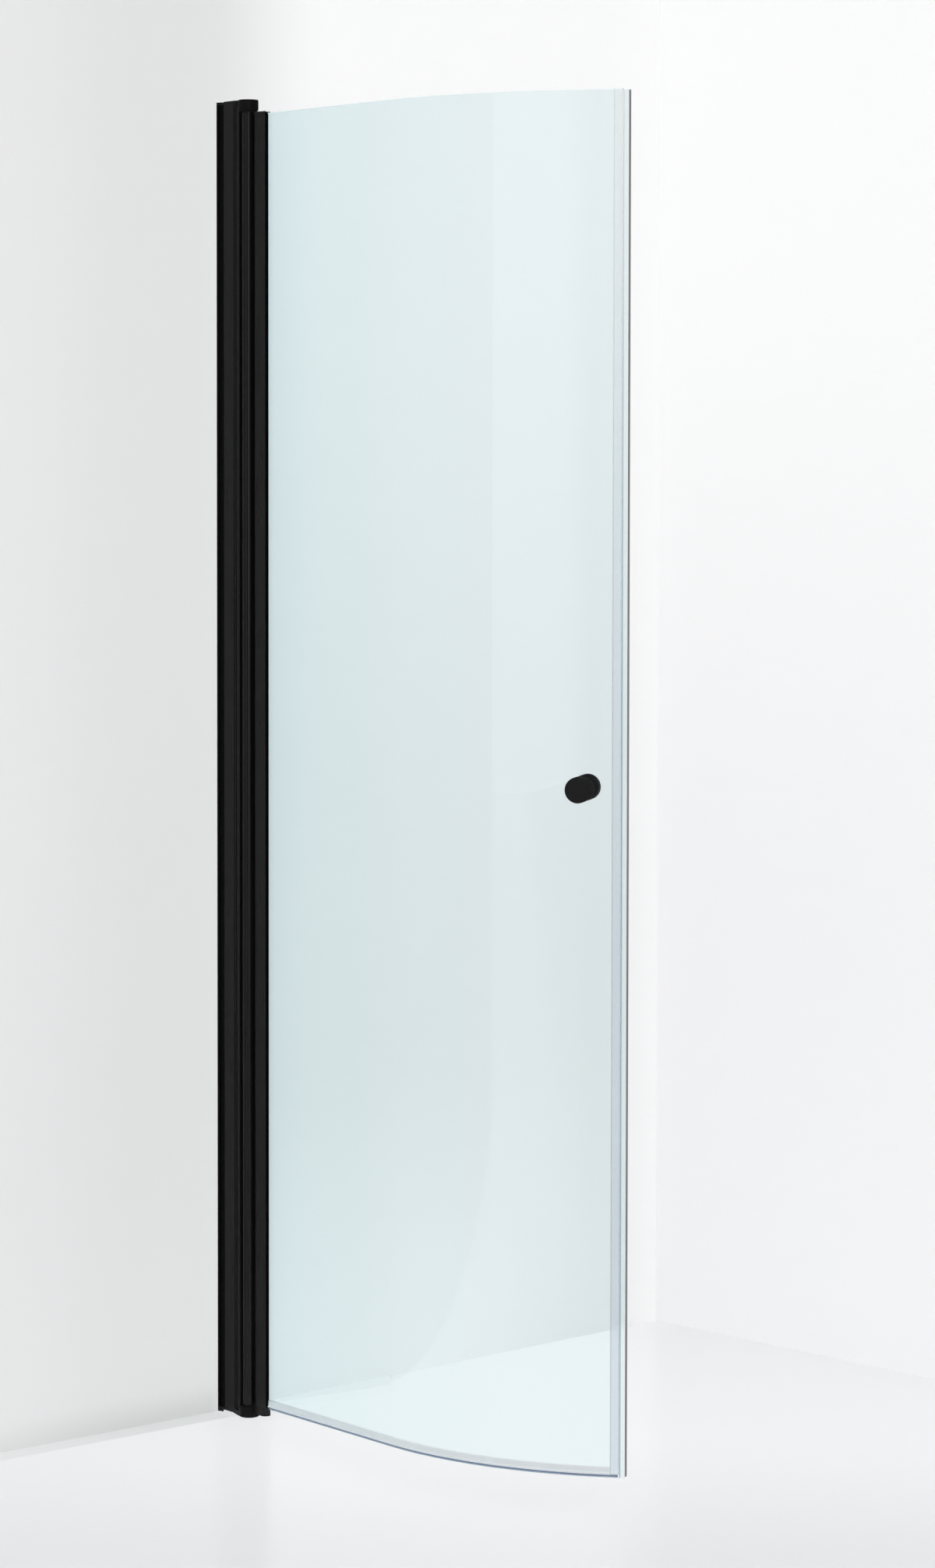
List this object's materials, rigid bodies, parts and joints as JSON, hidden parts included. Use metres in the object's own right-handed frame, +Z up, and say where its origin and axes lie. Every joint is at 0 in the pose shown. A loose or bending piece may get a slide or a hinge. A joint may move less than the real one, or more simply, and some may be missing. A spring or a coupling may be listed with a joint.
{
  "type": "curved pivot shower door",
  "caption": "Shower door leaf of straight then curved glass, turning on top and bottom pivots beside a black wall channel, with clear seals, a magnetic closing edge and a round knob.",
  "frame": {"origin": "on the wall face, in the middle of the wall channel's width, at its lower end", "axes": "+X out of the wall along the straight part of the glass, -Y to the room, +Y into the shower, +Z up"},
  "size_m": [0.7583, 0.167, 1.95],
  "materials": {
    "black_aluminium": "matte black powder coat on extrusions",
    "black_casting": "satin black coat on a zinc casting",
    "black_plastic": "moulded black plastic",
    "black_knob": "matte black coat on turned metal",
    "black_rubber": "soft extruded rubber",
    "steel": "stainless, turned",
    "bearing_plastic": "black acetal",
    "glass": "clear toughened glass with polished arrises",
    "clear_pvc": "clear flexible extrusion",
    "magnet_grey": "dark grey magnetic strip in soft plastic"
  },
  "bodies": {
    "frame": {"wall_channel": "black_aluminium", "channel_top_cap": "black_plastic", "channel_bottom_cap": "black_plastic"},
    "post": {"hinge_post": "black_aluminium", "post_top_lid": "black_plastic", "post_bottom_cap": "black_plastic", "top_hinge_arm": "black_casting", "bottom_hinge_arm": "black_casting", "top_pivot_pin": "steel", "bottom_pivot_pin": "steel", "thrust_washer": "bearing_plastic", "arm_screws": "steel", "clamp_screws": "steel", "post_seal": "black_rubber"},
    "door": {"door_profile": "black_aluminium", "door_top_plug": "black_plastic", "door_bottom_plug": "black_plastic", "top_bush": "bearing_plastic", "bottom_bush": "bearing_plastic", "outer_gasket": "black_rubber", "inner_gasket": "black_rubber", "glass_pane": "glass", "bottom_seal": "clear_pvc", "closing_seal": "clear_pvc", "magnet_strip": "magnet_grey", "outer_knob": "black_knob", "inner_knob": "black_knob", "outer_knob_washer": "clear_pvc", "inner_knob_washer": "clear_pvc", "knob_stud": "steel", "knob_sleeve": "clear_pvc"}
  },
  "joints": [
    {"name": "wall_adjust", "type": "slide", "parent": "frame", "child": "post", "axis": [1, 0, 0], "range_m": [-0.008, 0.008]},
    {"name": "door_swing", "type": "hinge", "parent": "post", "child": "door", "pos_m": [0.068, -0.00275, 0], "axis": [0, 0, 1], "range_deg": [-95, 70]}
  ]
}
